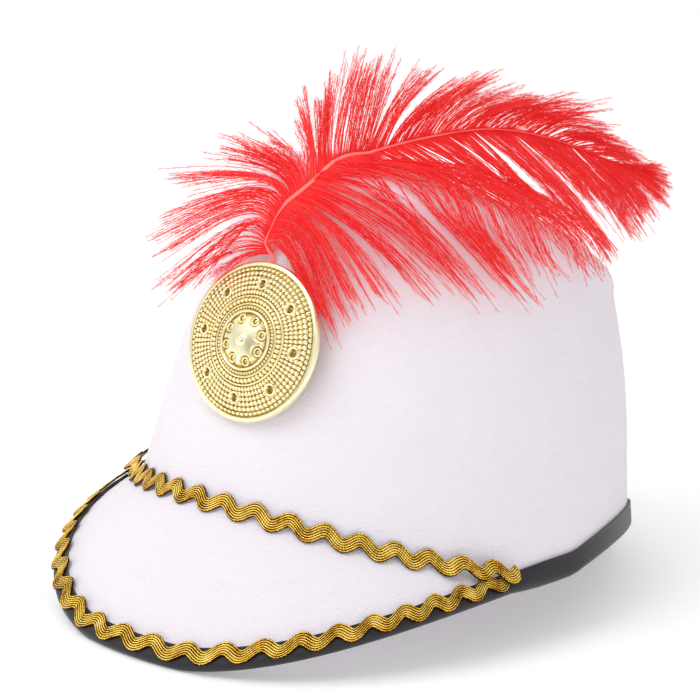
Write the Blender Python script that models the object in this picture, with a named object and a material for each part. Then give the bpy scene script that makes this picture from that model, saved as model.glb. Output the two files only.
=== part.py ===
# A marching band hat of white felt with a bound edge, ric-rac braid, a medallion and a plume.
# Metres. +Z is up, the wearer looks along -Y and the wearer's left is +X.
# The origin is on the surface that the hat rests on, below the middle of the crown.
# The hat rests on the tip of its peak and on the nape of its edge.

import math

import bmesh
import bpy
import numpy as np
from mathutils import Vector
from mathutils.bvhtree import BVHTree

for old in list(bpy.data.objects):
    bpy.data.objects.remove(old, do_unlink=True)

# Crown, measured on the outside of the felt
CROWN_FRONT_HEIGHT = 0.1469
CROWN_REAR_HEIGHT = 0.0849
BASE_FRONT_REACH = 0.0981
BASE_REAR_REACH = 0.0976
BASE_HALF_WIDTH = 0.0862
TOP_FRONT_REACH = 0.0492
TOP_REAR_REACH = 0.0904
TOP_HALF_WIDTH = 0.0625
TOP_DOME_RISE = 0.0170
SIDE_ARCH_RISE = 0.0212
FELT_THICKNESS = 0.0020

# Peak
PEAK_OVERHANG = 0.0318
CREASE_HEIGHT = 0.0416
PEAK_END_ANGLE = math.radians(87.0)

# Binding: a tape folded over the whole felt edge
BINDING_WIDTH = 0.0090
TAPE_THICKNESS = 0.0008
CLEARANCE = 0.0003
REST_SETTLE = 0.0012
REST_PRESS = 0.0004
REST_FLAT_ANGLE = math.radians(25.0)

# Ric-rac braid
BRAID_FRONT_WAVE = 0.0128
BRAID_END_WAVE = 0.0104
BRAID_OVERALL_HEIGHT = 0.0084
BRAID_BAND_HEIGHT = 0.0050
BRAID_THICKNESS = 0.0008
EDGE_BRAID_HEIGHT = 0.0066
CREASE_BRAID_END_ANGLE = math.radians(76.5)
EDGE_BRAID_END_ANGLE = math.radians(75.0)
WAVE_FALL = 1.3
WAVE_START = 0.08
EDGE_FOLLOW = 0.62
CLIMB_START = 1.35
CLIMB_END = 0.9
JOIN_DROP = 0.0015
STEPS_PER_WAVE = 6

# Medallion
MEDALLION_RADIUS = 0.0267
MEDALLION_BACK_RADIUS = 0.0252
MEDALLION_RIM_DEPTH = 0.0020
MEDALLION_DOME_RISE = 0.0055
MEDALLION_RELIEF_HEIGHT = 0.0009
MEDALLION_WALL = 0.0009
MEDALLION_CENTRE_HEIGHT = 0.0935
MEDALLION_LEFT = -0.0013
STAR_POINTS = 8
STUD_COUNT = 8
DOME_FALL = 1.5
HOLLOW_MIDDLE_SHARE = 0.55
HOLLOW_MIDDLE_RAISED = -0.5

# Plume
QUILL_RADIUS = 0.0009
PLUME_TIP_RADIUS = 0.0005
SHAFT_FLATNESS = 0.75
LOCK_THICKNESS = 0.0010
LOCK_LIFT = 0.0055
SHAFT_LIFT = 0.0032
LOCK_COUNT = 28
LOCK_STEPS = 4
LOCK_FILL = 0.92
LOCK_NARROWING = 0.15
LOCK_TIP_WIDTH = 0.35
LOCK_ROOT_THICK = 1.2
LOCK_THINNING = 0.6
BARE_STEPS = 3

# Form of the crown, with shares of the way from its base size to its top size
CROWN_SECTIONS = {
    "height": (0.0, 0.2, 0.4, 0.6, 0.8, 1.0),
    "front": (0.0, 0.189, 0.367, 0.566, 0.806, 1.0),
    "rear": (0.0, 0.208, 0.437, 0.656, 0.800, 1.0),
    "width": (0.0, 0.148, 0.263, 0.408, 0.668, 1.0),
}
PLAN_ROUNDNESS = 1.844
DOME_ROUNDNESS = 2.196
PLAN_FRONT_SWELL = 0.048
ARCH_REAR_BIAS = 0.61
CREASE_DROP = 0.84
PEAK_ROUNDNESS = 2.27
PEAK_EDGE_RISE = 1.775
PEAK_BULGE = 0.12

# How the columns of the peak fan out from the crease to the edge
FAN_EVEN = 0.75
FAN_POWER = 4.55

# How finely the forms are made
COLUMNS = 64
PEAK_ROWS = 3
WALL_ROWS = 5
DOME_ROWS = 4
PEAK_SAMPLES = 12
WALL_SAMPLES = 24
DOME_SAMPLES = 16
LOWEST_SEAM = 0.0144
DOME_CROWDING = 1.4
PATH_POINTS = 241
SHAFT_POINTS = 161
MEDALLION_SIDES = 48
TURN_STEP = 0.02
SLOPE_STEP = 0.0015


def smooth_through(stations, values, place):
    """Read a smooth curve through the values at a place between its stations."""
    stations = np.asarray(stations)
    values = np.asarray(values)
    slopes = np.gradient(values, stations)
    index = int(np.clip(np.searchsorted(stations, place) - 1, 0, len(stations) - 2))
    step = stations[index + 1] - stations[index]
    t = (place - stations[index]) / step
    return (
        (2 * t**3 - 3 * t**2 + 1) * values[index]
        + (t**3 - 2 * t**2 + t) * step * slopes[index]
        + (3 * t**2 - 2 * t**3) * values[index + 1]
        + (t**3 - t**2) * step * slopes[index + 1]
    )


def smooth_step(low, high, value):
    """Rise from 0 at low to 1 at high."""
    t = min(1.0, max(0.0, (value - low) / (high - low)))
    return t * t * (3 - 2 * t)


def signed_power(value, exponent):
    return math.copysign(abs(value) ** exponent, value)


def unit(vector):
    return vector / np.linalg.norm(vector)


def between(base, top, column, height):
    """A size of the crown at a share of its height."""
    share = smooth_through(CROWN_SECTIONS["height"], CROWN_SECTIONS[column], height)
    return base + (top - base) * share


def crown_point(angle, height, spread=1.0, rise=0.0):
    """A point of the crown: angle from the front, share of the height, and rise over the flat top."""
    front = -between(BASE_FRONT_REACH, TOP_FRONT_REACH, "front", height)
    rear = between(BASE_REAR_REACH, TOP_REAR_REACH, "rear", height)
    half_width = between(BASE_HALF_WIDTH, TOP_HALF_WIDTH, "width", height)
    across = signed_power(math.sin(angle), 2 / PLAN_ROUNDNESS) * spread
    along = signed_power(math.cos(angle), 2 / PLAN_ROUNDNESS) * spread
    back_share = (1 - along) / 2
    front_z = CROWN_FRONT_HEIGHT * height
    rear_z = CROWN_REAR_HEIGHT * height
    swell = 1 + PLAN_FRONT_SWELL * math.cos(angle) * (1 - height)
    arch = SIDE_ARCH_RISE * math.sin(angle) ** 2
    arch *= (1 - ARCH_REAR_BIAS * math.cos(angle)) * (1 - height) ** 2
    slope = math.atan2(front_z - rear_z, rear - front)
    return np.array((
        half_width * across * swell,
        front + (rear - front) * back_share + rise * math.sin(slope),
        front_z + (rear_z - front_z) * back_share + arch + rise * math.cos(slope),
    ))


def crease_share(angle):
    """Share of the crown's height where the peak leaves it."""
    if abs(angle) >= PEAK_END_ANGLE:
        return 0.0
    fall = math.cos(angle / PEAK_END_ANGLE * math.pi / 2)
    return CREASE_HEIGHT / CROWN_FRONT_HEIGHT * fall**CREASE_DROP


def settled(height):
    """Felt that carries the hat is flattened: low stretches of the edge lie level."""
    scale = SIDE_ARCH_RISE / (SIDE_ARCH_RISE - REST_SETTLE)
    return max(height - REST_SETTLE, 0.0) * scale


def edge_point(angle):
    """The lowest line of the bound edge."""
    if abs(angle) >= PEAK_END_ANGLE:
        point = crown_point(angle, 0.0)
    else:
        side = crown_point(PEAK_END_ANGLE, 0.0)
        turn = abs(angle) / PEAK_END_ANGLE * math.pi / 2
        reach = BASE_FRONT_REACH + PEAK_OVERHANG + side[1]
        point = np.array((
            math.copysign(side[0] * math.sin(turn) ** (2 / PEAK_ROUNDNESS), angle),
            side[1] - reach * max(math.cos(turn), 0.0) ** (2 / PEAK_ROUNDNESS),
            side[2] * math.sin(turn) ** PEAK_EDGE_RISE,
        ))
    point[2] = settled(point[2])
    return point


def crease_angle(angle):
    """The peak's columns fan out, so that they stay square to its edge."""
    share = min(1.0, abs(angle) / PEAK_END_ANGLE)
    if share >= 1.0:
        return angle
    return angle * (FAN_EVEN + (1 - FAN_EVEN) * share**FAN_POWER)


class Column:
    """One line over the felt's outside, from the bound edge over the crease to the top's middle."""

    known = {}

    def __init__(self, angle):
        top_angle = crease_angle(angle)
        low = crease_share(top_angle)
        edge = edge_point(angle)
        points = [edge]
        if low > 0:
            crease = crown_point(top_angle, low)
            corner = np.array((edge[0], edge[1], crease[2]))
            pull = (edge + crease) / 2 * (1 - PEAK_BULGE) + corner * PEAK_BULGE
            for t in np.linspace(0, 1, PEAK_SAMPLES + 1)[1:]:
                points.append((1 - t) ** 2 * edge + 2 * t * (1 - t) * pull + t * t * crease)
        crease_index = len(points) - 1
        for height in np.linspace(low, 1, WALL_SAMPLES + 1)[1:]:
            points.append(crown_point(top_angle, height))
        corner_index = len(points) - 1
        for turn in np.linspace(0, math.pi / 2, DOME_SAMPLES + 1)[1:]:
            spread = max(math.cos(turn), 0.0) ** (2 / DOME_ROUNDNESS)
            rise = TOP_DOME_RISE * math.sin(turn) ** (2 / DOME_ROUNDNESS)
            points.append(crown_point(top_angle, 1.0, spread, rise))
        self.points = np.array(points)
        steps = np.linalg.norm(np.diff(self.points, axis=0), axis=1)
        self.lengths = np.concatenate(((0.0,), np.cumsum(steps)))
        self.crease = self.lengths[crease_index]
        self.corner = self.lengths[corner_index]
        self.total = self.lengths[-1]

    def at(self, distance):
        """The point at a distance from the edge's lowest line, measured over the felt."""
        if distance < 0:
            return self.points[0] + (self.points[1] - self.points[0]) * distance / self.lengths[1]
        return np.array([np.interp(distance, self.lengths, self.points[:, k]) for k in range(3)])


def column(angle):
    """The column at an angle, worked out once."""
    key = round(angle, 6)
    if key not in Column.known:
        Column.known[key] = Column(angle)
    return Column.known[key]


def normal_at(angle, distance):
    """The outward direction of the felt."""
    across = column(angle + TURN_STEP).at(distance) - column(angle - TURN_STEP).at(distance)
    up = column(angle).at(distance + SLOPE_STEP) - column(angle).at(distance - SLOPE_STEP)
    return unit(np.cross(across, up))


def on_felt(angle, distance, offset):
    """A point at an offset outwards from the felt."""
    return column(angle).at(distance) + normal_at(angle, distance) * offset


def fold_radius():
    """Outer radius of the folded tape under the felt's edge."""
    return FELT_THICKNESS / 2 + CLEARANCE + TAPE_THICKNESS


def felt_start(angle):
    """Distance from the edge's lowest line to the cut edge of the felt."""
    line = column(angle)
    up = unit(line.at(BINDING_WIDTH) - line.at(0.0))
    normal = normal_at(angle, BINDING_WIDTH / 2)
    return (fold_radius() + FELT_THICKNESS / 2 * normal[2]) / up[2]


def add_object(name, mesh_builder, colour, roughness, metallic=0.0):
    """Make one named object with its own material from a function that fills a bmesh."""
    bm = bmesh.new()
    mesh_builder(bm)
    bmesh.ops.recalc_face_normals(bm, faces=bm.faces)
    bmesh.ops.triangulate(bm, faces=bm.faces, quad_method="SHORT_EDGE")
    mesh = bpy.data.meshes.new(name)
    bm.to_mesh(mesh)
    bm.free()
    mesh.shade_smooth()
    mesh.set_sharp_from_angle(angle=math.radians(40))
    material = bpy.data.materials.new(name)
    material.use_nodes = True
    shader = material.node_tree.nodes["Principled BSDF"]
    shader.inputs["Base Color"].default_value = (*colour, 1.0)
    shader.inputs["Roughness"].default_value = roughness
    shader.inputs["Metallic"].default_value = metallic
    mesh.materials.append(material)
    piece = bpy.data.objects.new(name, mesh)
    bpy.context.scene.collection.objects.link(piece)
    return piece


def join_rings(bm, rings, closed=True):
    """Faces between rings of vertices."""
    count = len(rings[0])
    for lower, upper in zip(rings, rings[1:]):
        for index in range(count if closed else count - 1):
            after = (index + 1) % count
            bm.faces.new((lower[index], lower[after], upper[after], upper[index]))


def row_distances(angle):
    """Where the felt's rows of vertices lie on a column."""
    line = column(angle)
    start = felt_start(angle)
    seam = max(line.crease, LOWEST_SEAM)
    rows = [start, BINDING_WIDTH]
    for index in range(1, PEAK_ROWS + 1):
        rows.append(BINDING_WIDTH + (seam - BINDING_WIDTH) * index / PEAK_ROWS)
    for index in range(1, WALL_ROWS + 1):
        rows.append(seam + (line.corner - seam) * index / WALL_ROWS)
    for index in range(1, DOME_ROWS):
        share = math.sin(index / DOME_ROWS * math.pi / 2) ** DOME_CROWDING
        rows.append(line.corner + (line.total - line.corner) * share)
    return rows


def felt_columns():
    """The angle of each column of the felt's vertices."""
    return [2 * math.pi * index / COLUMNS - math.pi for index in range(COLUMNS)]


def fill_skin(bm, depth):
    """One closed skin of the felt, a depth below its outside, and its rows of vertices."""
    columns = []
    for angle in felt_columns():
        places = row_distances(angle)
        columns.append([bm.verts.new(on_felt(angle, place, -depth)) for place in places])
    rows = [list(row) for row in zip(*columns)]
    join_rings(bm, rows)
    slope = math.atan2(CROWN_FRONT_HEIGHT - CROWN_REAR_HEIGHT, TOP_REAR_REACH + TOP_FRONT_REACH)
    inward = np.array((0.0, -math.sin(slope), -math.cos(slope)))
    pole = bm.verts.new(column(0.0).at(column(0.0).total) + inward * depth)
    for index in range(COLUMNS):
        bm.faces.new((rows[-1][index], rows[-1][(index + 1) % COLUMNS], pole))
    return rows


def build_felt(bm):
    """The crown and peak: one felt wall, open below."""
    outer_rows = fill_skin(bm, 0.0)
    inner_rows = fill_skin(bm, FELT_THICKNESS)
    join_rings(bm, [outer_rows[0], inner_rows[0]])


def build_binding(bm):
    """The folded tape: a U over the felt's edge, pressed flat where the hat rests."""
    inner_fold = FELT_THICKNESS / 2 + CLEARANCE
    rings = []
    for angle in felt_columns():
        start = felt_start(angle)
        outer_foot = column(angle).at(start)
        foot_normal = normal_at(angle, start)
        outer_top = column(angle).at(BINDING_WIDTH)
        top_normal = normal_at(angle, BINDING_WIDTH)
        down = unit(outer_foot - outer_top)
        middle = outer_foot - foot_normal * FELT_THICKNESS / 2
        top_middle = outer_top - top_normal * FELT_THICKNESS / 2
        outline = [top_middle + top_normal * fold_radius()]
        lowest = math.atan2(-down[2], -foot_normal[2])
        flat = (lowest - REST_FLAT_ANGLE, lowest + REST_FLAT_ANGLE)
        for turn in (0.0, flat[0] / 2, *flat, math.pi):
            point = middle + (foot_normal * math.cos(turn) + down * math.sin(turn)) * fold_radius()
            if turn in flat:
                point[2] = max(point[2] - REST_PRESS, 0.0)
            outline.append(point)
        outline.append(top_middle - top_normal * fold_radius())
        outline.append(top_middle - top_normal * inner_fold)
        for turn in np.linspace(math.pi, 0, 3):
            outline.append(middle + (foot_normal * math.cos(turn) + down * math.sin(turn)) * inner_fold)
        outline.append(top_middle + top_normal * inner_fold)
        rings.append([bm.verts.new(point) for point in outline])
    rings.append(rings[0])
    join_rings(bm, rings)


def edge_braid_height(angle):
    return EDGE_BRAID_HEIGHT


def crease_braid_height(angle):
    """The crease braid follows the crease, and dips over the edge braid where the two meet."""
    return column(angle).crease - JOIN_DROP * climb_share(angle)


def tape_top():
    """Offset of a braid that lies over the binding."""
    return 2 * CLEARANCE + TAPE_THICKNESS


def climb_share(angle):
    """How far the crease braid has climbed over the edge braid, from 0 to 1."""
    meeting = BINDING_WIDTH + BRAID_OVERALL_HEIGHT
    return 1 - smooth_step(meeting * CLIMB_END, meeting * CLIMB_START, column(angle).crease)


def edge_braid_offset(angle):
    return tape_top()


def crease_braid_offset(angle):
    """The crease braid lies on the felt, and on the edge braid where the two meet."""
    lift = tape_top() + BRAID_THICKNESS + CLEARANCE
    return CLEARANCE * 2 + lift * climb_share(angle)


def braid_ground(angle, height):
    """Middle, upward and outward directions of the ground that a braid lies on.

    A braid is stiff across, so it bridges the hollow of the crease.
    """
    line = column(angle)
    low = line.at(height - BRAID_OVERALL_HEIGHT / 2)
    high = line.at(height + BRAID_OVERALL_HEIGHT / 2)
    up = unit(high - low)
    across = unit(column(angle + TURN_STEP).at(height) - column(angle - TURN_STEP).at(height))
    outward = unit(np.cross(across, up))
    middle = (low + high) / 2
    swell = max(0.0, float(np.dot(line.at(height) - middle, outward)))
    return middle + outward * swell, up, outward


def wave_phases(length, steps_per_wave):
    """Places along a braid, close enough for its waves, which are shorter towards its ends."""
    fine = np.linspace(-1.0, 1.0, PATH_POINTS)
    wave = BRAID_FRONT_WAVE + (BRAID_END_WAVE - BRAID_FRONT_WAVE) * np.abs(fine) ** WAVE_FALL
    rate = (1 / wave[1:] + 1 / wave[:-1]) / 2
    turns = np.concatenate(((0.0,), np.cumsum(rate * np.diff(fine) * length / 2)))
    waves = round(turns[-1])
    phases = np.linspace(0.0, waves, waves * steps_per_wave + 1)
    places = np.interp(phases / waves * turns[-1], turns, (fine + 1) / 2 * length)
    return phases, places, length / waves


def build_braid(end_angle, height_at, offset_at):
    """A waved flat strip along a line over the felt, from side to side."""
    amplitude = (BRAID_OVERALL_HEIGHT - BRAID_BAND_HEIGHT) / 2

    def fill(bm):
        angles = np.linspace(-end_angle, end_angle, PATH_POINTS)
        ground = [braid_ground(angle, height_at(angle)) for angle in angles]
        ground = np.array([np.concatenate((*row, (offset_at(angle),))) for row, angle in zip(ground, angles)])
        steps = np.linalg.norm(np.diff(ground[:, :3], axis=0), axis=1)
        run = np.concatenate(((0.0,), np.cumsum(steps)))
        phases, places, wave_length = wave_phases(run[-1], STEPS_PER_WAVE)
        rings = []
        for phase, place in zip(phases, places):
            turn = (phase + WAVE_START) * 2 * math.pi
            slope = math.atan(amplitude * math.cos(turn) * 2 * math.pi / wave_length)
            ring = []
            for side, lift in ((-1, 0), (1, 0), (1, 1), (-1, 1)):
                reach = side * BRAID_BAND_HEIGHT / 2
                along = place - EDGE_FOLLOW * reach * math.sin(slope)
                height = amplitude * math.sin(turn) + reach * (1 - EDGE_FOLLOW * (1 - math.cos(slope)))
                row = [np.interp(along, run, ground[:, k]) for k in range(10)]
                middle, up, outward = np.array(row[:3]), np.array(row[3:6]), np.array(row[6:9])
                offset = row[9] + lift * BRAID_THICKNESS
                ring.append(bm.verts.new(middle + up * height + outward * offset))
            rings.append(ring)
        join_rings(bm, rings)
        bm.faces.new(rings[0])
        bm.faces.new(rings[-1])

    return fill


def front_line(height):
    """Distance over the felt, on the front centre line, to a height above the table."""
    line = column(0.0)
    return float(np.interp(height, line.points[:-DOME_SAMPLES, 2], line.lengths[:-DOME_SAMPLES]))


def medallion_frame():
    """Centre of the medallion's back rim, and its outward, upward and sideways directions."""
    centre = front_line(MEDALLION_CENTRE_HEIGHT)
    low = on_felt(0.0, centre - MEDALLION_BACK_RADIUS, CLEARANCE)
    high = on_felt(0.0, centre + MEDALLION_BACK_RADIUS, 2 * CLEARANCE + 2 * QUILL_RADIUS)
    up = unit(high - low)
    across = np.array((1.0, 0.0, 0.0))
    outward = np.cross(up, across)
    outward = outward if outward[1] < 0 else -outward
    return (low + high) / 2 + across * MEDALLION_LEFT, outward, up, across


# Relief of the medallion: shares of its radius and of the relief height, and which figure stands there
MEDALLION_RELIEF = (
    {"radius": 0.07, "raised": 1.4, "figure": ""},
    {"radius": 0.17, "raised": 1.0, "figure": "star"},
    {"radius": 0.26, "raised": 0.5, "figure": "star"},
    {"radius": 0.34, "raised": 0.0, "figure": ""},
    {"radius": 0.38, "raised": 0.6, "figure": ""},
    {"radius": 0.42, "raised": 0.0, "figure": ""},
    {"radius": 0.49, "raised": 0.0, "figure": ""},
    {"radius": 0.53, "raised": 0.9, "figure": ""},
    {"radius": 0.57, "raised": 0.0, "figure": ""},
    {"radius": 0.65, "raised": 0.0, "figure": ""},
    {"radius": 0.715, "raised": 0.1, "figure": "stud"},
    {"radius": 0.78, "raised": 0.0, "figure": ""},
    {"radius": 0.90, "raised": 0.0, "figure": ""},
    {"radius": 0.955, "raised": 0.9, "figure": ""},
    {"radius": 1.0, "raised": -0.2, "figure": ""},
)


def figure_rise(figure, angle):
    """Height of a figure over the plate, as a share of the relief height."""
    if figure == "star":
        return 0.8 * math.cos(angle * STAR_POINTS)
    if figure == "stud":
        return 0.9 if math.cos(angle * STUD_COUNT) > 0.99 else 0.0
    return 0.0


def dome_rise(radius):
    """Rise of the domed plate over its rim, at a share of the medallion's radius."""
    return MEDALLION_DOME_RISE * (1 - radius**DOME_FALL)


def build_medallion(bm):
    """A turned, domed plate with raised figures on its face and a hollow back."""
    centre, outward, up, across = medallion_frame()

    def place(radius, angle, depth):
        direction = up * math.cos(angle) + across * math.sin(angle)
        return centre + direction * radius + outward * depth

    def ring(radius, depth, figure=""):
        verts = []
        for index in range(MEDALLION_SIDES):
            angle = 2 * math.pi * index / MEDALLION_SIDES
            rise = figure_rise(figure, angle) * MEDALLION_RELIEF_HEIGHT
            verts.append(bm.verts.new(place(radius, angle, depth + rise)))
        return verts

    def face_depth(radius, raised):
        return MEDALLION_RIM_DEPTH + dome_rise(radius) + raised * MEDALLION_RELIEF_HEIGHT

    rings = []
    for row in MEDALLION_RELIEF:
        depth = face_depth(row["radius"], row["raised"])
        rings.append(ring(row["radius"] * MEDALLION_RADIUS, depth, row["figure"]))
    rings.append(ring(MEDALLION_BACK_RADIUS, 0.0))
    hollow = (MEDALLION_BACK_RADIUS - MEDALLION_WALL) / MEDALLION_RADIUS
    rings.append(ring(hollow * MEDALLION_RADIUS, 0.0))
    for share in (hollow, HOLLOW_MIDDLE_SHARE):
        depth = face_depth(share, HOLLOW_MIDDLE_RAISED) - MEDALLION_WALL
        rings.append(ring(share * MEDALLION_RADIUS, depth))
    join_rings(bm, rings)
    front = bm.verts.new(place(0.0, 0.0, face_depth(0.0, MEDALLION_RELIEF[0]["raised"])))
    back = bm.verts.new(place(0.0, 0.0, face_depth(0.0, 0.0) - MEDALLION_WALL))
    for index in range(MEDALLION_SIDES):
        after = (index + 1) % MEDALLION_SIDES
        bm.faces.new((rings[0][index], rings[0][after], front))
        bm.faces.new((rings[-1][index], rings[-1][after], back))


# The plume's shaft, as shares of the crown's half width, front reach and front height
PLUME_ROUTE = (
    {"left": 0.02, "along": -0.635, "up": 0.860},
    {"left": 0.03, "along": -0.535, "up": 0.960},
    {"left": 0.05, "along": -0.360, "up": 1.030},
    {"left": 0.10, "along": -0.190, "up": 1.056},
    {"left": 0.15, "along": 0.000, "up": 1.065},
    {"left": 0.20, "along": 0.240, "up": 1.060},
    {"left": 0.24, "along": 0.530, "up": 1.015},
    {"left": 0.28, "along": 0.840, "up": 0.935},
    {"left": 0.30, "along": 1.100, "up": 0.860},
)

# Where the shaft starts behind the medallion, as shares of its radius below the rim's top
PLUME_ROOT = (0.75, 0.3, -0.08)

# Locks along the shaft. near: to the wearer's left and down. far: to the right and up.
PLUME_LOCKS = {
    "place": (0.0, 0.08, 0.16, 0.24, 0.34, 0.50, 0.65, 0.82, 1.0),
    "near_length": (0.028, 0.034, 0.040, 0.044, 0.044, 0.046, 0.040, 0.028, 0.014),
    "near_sweep": (-0.40, -0.05, 0.25, 0.40, 0.55, 0.75, 1.05, 1.60, 3.00),
    "near_droop": (0.25, 0.30, 0.35, 0.40, 0.40, 0.35, 0.25, 0.15, 0.05),
    "far_length": (0.040, 0.044, 0.030, 0.030, 0.032, 0.028, 0.026, 0.024, 0.016),
    "far_sweep": (-0.90, -0.55, -0.10, 0.45, 0.80, 1.20, 1.60, 2.00, 3.00),
    "far_droop": (0.25, 0.15, 0.05, 0.0, 0.0, 0.0, 0.0, 0.05, 0.05),
    "tilt": (0.15, 0.25, 0.45, 0.60, 0.65, 0.65, 0.60, 0.55, 0.50),
}


def felt_surface():
    """The felt's outside as a surface that the plume is laid on."""
    bm = bmesh.new()
    fill_skin(bm, 0.0)
    bmesh.ops.recalc_face_normals(bm, faces=bm.faces)
    surface = BVHTree.FromBMesh(bm)
    bm.free()
    return surface


def laid_on(surface, point, offset):
    """Move a point out to an offset over the felt where it would lie deeper."""
    nearest, normal = surface.find_nearest(Vector(point))[:2]
    depth = (Vector(point) - nearest).dot(normal)
    if depth >= offset:
        return point
    return np.array(nearest + normal * offset)


def shaft_points(surface):
    """The shaft from its end behind the medallion to its tip, as a dense smooth line."""
    quill_offset = CLEARANCE + QUILL_RADIUS
    rim_way = front_line(MEDALLION_CENTRE_HEIGHT) + MEDALLION_RADIUS
    route = [on_felt(0.0, rim_way - share * MEDALLION_RADIUS, quill_offset) for share in PLUME_ROOT]
    for row in PLUME_ROUTE:
        route.append(np.array((
            row["left"] * BASE_HALF_WIDTH,
            row["along"] * BASE_FRONT_REACH,
            row["up"] * CROWN_FRONT_HEIGHT,
        )))
    route = np.array(route)
    steps = np.linalg.norm(np.diff(route, axis=0), axis=1)
    run = np.concatenate(((0.0,), np.cumsum(steps)))
    dense = np.linspace(0, run[-1], SHAFT_POINTS)
    line = [np.array([smooth_through(run, route[:, k], place) for k in range(3)]) for place in dense]
    behind = len(PLUME_ROOT)
    bare_share = run[behind - 1] / run[-1]
    lifts = [SHAFT_LIFT if place > run[behind] else quill_offset for place in dense]
    line = np.array([laid_on(surface, point, lift) for point, lift in zip(line, lifts)])
    return line, bare_share


def lock_column(name, place):
    return smooth_through(PLUME_LOCKS["place"], PLUME_LOCKS[name], place)


def lock_directions(line, share):
    """Tangent, near-side and normal directions of the vane at a share of the shaft."""
    index = int(round(share * (len(line) - 1)))
    index = min(max(index, 2), len(line) - 3)
    tangent = unit(line[index + 2] - line[index - 2])
    side = np.array((1.0, 0.0, 0.0))
    side = unit(side - tangent * np.dot(side, tangent))
    normal = np.cross(side, tangent)
    normal = normal if normal[2] - normal[1] > 0 else -normal
    return tangent, side, normal


def build_plume(bm):
    """A tapered shaft whose side faces grow out into flat locks."""
    surface = felt_surface()
    line, bare_share = shaft_points(surface)
    shares = [bare_share * index / BARE_STEPS for index in range(BARE_STEPS)]
    shares += list(np.linspace(bare_share, 1.0, LOCK_COUNT + 1))
    rings = []
    for share in shares:
        place = line[int(round(share * (len(line) - 1)))]
        tangent, side, normal = lock_directions(line, share)
        radius = QUILL_RADIUS + (PLUME_TIP_RADIUS - QUILL_RADIUS) * share
        corners = ((1, -1), (1, 1), (-1, 1), (-1, -1))
        spread = radius * SHAFT_FLATNESS
        rings.append([bm.verts.new(place + (side * a + normal * b) * spread) for a, b in corners])
    bm.faces.new(rings[0])
    bm.faces.new(rings[-1])
    for step in range(len(rings) - 1):
        lower = rings[step]
        upper = rings[step + 1]
        for index in range(4):
            after = (index + 1) % 4
            face = (lower[index], lower[after], upper[after], upper[index])
            grows = index in (0, 2) and step >= BARE_STEPS
            if not grows:
                bm.faces.new(face)
                continue
            place = (step - BARE_STEPS + 0.5) / LOCK_COUNT
            share = (shares[step] + shares[step + 1]) / 2
            grow_lock(bm, surface, face, line, share, place, "near" if index == 0 else "far")


def grow_lock(bm, surface, face, line, share, place, which):
    """One lock: the shaft's side face carried outwards along a drooping path, to a narrow end."""
    tangent, side, normal = lock_directions(line, share)
    tilt = lock_column("tilt", place)
    away = side * math.cos(tilt) - normal * math.sin(tilt)
    away = away if which == "near" else -away
    length = lock_column(which + "_length", place)
    sweep = lock_column(which + "_sweep", place)
    droop = lock_column(which + "_droop", place)
    origin = sum(np.array(vert.co) for vert in face) / 4
    width = np.linalg.norm(np.array(face[0].co) - np.array(face[3].co))
    ring = list(face)
    heading = unit(away + tangent * sweep)
    flat = np.cross(heading, tangent)
    flat = unit(flat)
    for step in range(1, LOCK_STEPS + 1):
        reach = step / LOCK_STEPS
        centre = origin + heading * length * reach
        centre = centre + np.array((0.0, 0.0, -1.0)) * droop * length * reach**2
        centre = laid_on(surface, centre, LOCK_LIFT)
        share = LOCK_TIP_WIDTH if step == LOCK_STEPS else LOCK_FILL - LOCK_NARROWING * reach
        spread = tangent * width / 2 * share
        thick = flat * LOCK_THICKNESS / 2 * (LOCK_ROOT_THICK - LOCK_THINNING * reach)
        first = np.array(face[0].co) - origin
        sense = 1 if np.dot(first, flat) > 0 else -1
        corners = ((-1, sense), (-1, -sense), (1, -sense), (1, sense))
        fresh = [bm.verts.new(centre + spread * a + thick * b) for a, b in corners]
        join_rings(bm, [ring, fresh])
        ring = fresh
    bm.faces.new(ring)


def build_hat():
    add_object("felt_body", build_felt, (0.87, 0.82, 0.86), 0.95)
    add_object("edge_binding", build_binding, (0.02, 0.02, 0.022), 0.6)
    crease_braid = build_braid(CREASE_BRAID_END_ANGLE, crease_braid_height, crease_braid_offset)
    add_object("crease_braid", crease_braid, (0.72, 0.48, 0.08), 0.35, 0.9)
    edge_braid = build_braid(EDGE_BRAID_END_ANGLE, edge_braid_height, edge_braid_offset)
    add_object("edge_braid", edge_braid, (0.72, 0.48, 0.08), 0.35, 0.9)
    add_object("medallion", build_medallion, (0.90, 0.78, 0.42), 0.25, 1.0)
    add_object("plume", build_plume, (0.85, 0.05, 0.07), 0.8)


build_hat()
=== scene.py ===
import math

import bmesh
import bpy
import numpy as np
from mathutils import Matrix, Vector
from mathutils.bvhtree import BVHTree


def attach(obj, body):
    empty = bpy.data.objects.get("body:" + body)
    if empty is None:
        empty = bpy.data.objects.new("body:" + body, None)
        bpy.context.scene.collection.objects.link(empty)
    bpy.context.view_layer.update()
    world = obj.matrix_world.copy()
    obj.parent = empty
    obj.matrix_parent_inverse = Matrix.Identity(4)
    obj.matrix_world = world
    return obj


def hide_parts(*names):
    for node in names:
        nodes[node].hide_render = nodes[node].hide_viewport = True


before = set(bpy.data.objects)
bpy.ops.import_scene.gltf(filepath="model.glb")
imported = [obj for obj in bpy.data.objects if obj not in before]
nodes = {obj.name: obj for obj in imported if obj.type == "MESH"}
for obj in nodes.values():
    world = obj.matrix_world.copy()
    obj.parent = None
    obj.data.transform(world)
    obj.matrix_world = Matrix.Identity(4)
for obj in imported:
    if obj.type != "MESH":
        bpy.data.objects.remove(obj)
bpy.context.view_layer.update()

print("frame loaded:", sorted(nodes))


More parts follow.
